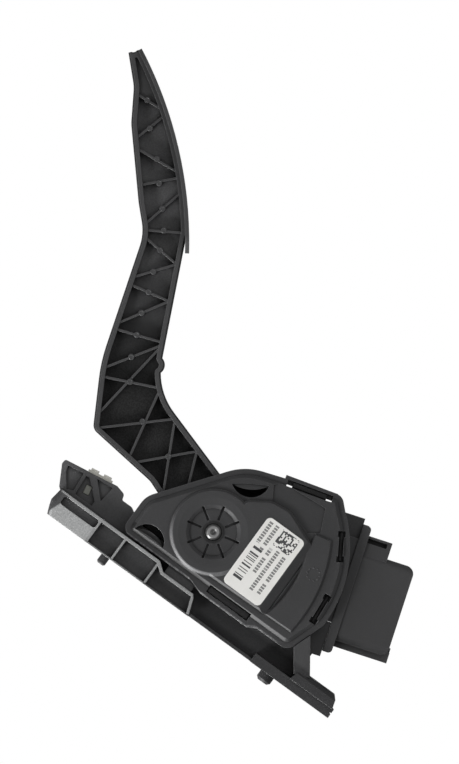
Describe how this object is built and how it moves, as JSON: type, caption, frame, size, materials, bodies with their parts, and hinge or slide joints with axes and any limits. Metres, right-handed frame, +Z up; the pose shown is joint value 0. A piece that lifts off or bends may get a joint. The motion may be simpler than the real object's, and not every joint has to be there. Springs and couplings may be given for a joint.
{
  "type": "accelerator pedal",
  "caption": "Suspended accelerator pedal: curved ribbed arm with foot pad, pivot housing with position sensor, plug socket, bulkhead rail and kick-down button.",
  "frame": {"origin": "on the mounting face of the rail, level with the middle of the pedal across the car", "axes": "+X into the bulkhead, +Z up in the installed pose, the cover and label side faces -Y"},
  "size_m": [0.2209, 0.0452, 0.2846],
  "materials": {
    "housing_plastic": "satin, glass-filled",
    "cover_plastic": "satin, glass-filled",
    "arm_plastic": "satin, glass-filled",
    "connector_plastic": "satin",
    "natural_plastic": "satin, natural",
    "bearing_plastic": "satin",
    "label_film": "satin film",
    "board_laminate": "coated",
    "chip_resin": "matte",
    "tinned_brass": "tinned",
    "steel": "turned",
    "spring_steel": "drawn wire",
    "stop_rubber": "matte"
  },
  "bodies": {
    "housing": {"base_housing": "housing_plastic", "mounting_bushes": "steel", "side_cover": "cover_plastic", "label": "label_film", "connector_body": "connector_plastic", "terminal_pins": "tinned_brass", "sensor_board": "board_laminate", "board_chips": "chip_resin", "near_bush": "bearing_plastic", "far_bush": "bearing_plastic", "idle_stop": "stop_rubber", "outer_spring": "spring_steel", "inner_spring": "spring_steel", "kickdown_case": "natural_plastic", "kickdown_spring": "spring_steel"},
    "pedal": {"pedal_arm": "arm_plastic", "pivot_axle": "steel", "sensor_rotor": "bearing_plastic", "spring_cup": "natural_plastic", "friction_shoe": "natural_plastic"},
    "kickdown": {"kickdown_plunger": "natural_plastic"}
  },
  "joints": [
    {"name": "pedal_press", "type": "hinge", "parent": "housing", "child": "pedal", "pos_m": [-0.0415, 0, -0.016], "axis": [0, -1, 0], "range_deg": [0, 11.7], "stiffness_Nm_per_rad": 7, "springref_deg": -20.05, "deforming": ["outer_spring", "inner_spring"]},
    {"name": "kickdown_press", "type": "slide", "parent": "housing", "child": "kickdown", "axis": [0.988, 0, 0.1547], "range_m": [0, 0.0026], "stiffness_N_per_m": 2000, "springref_m": -0.003, "deforming": ["kickdown_spring"]}
  ]
}
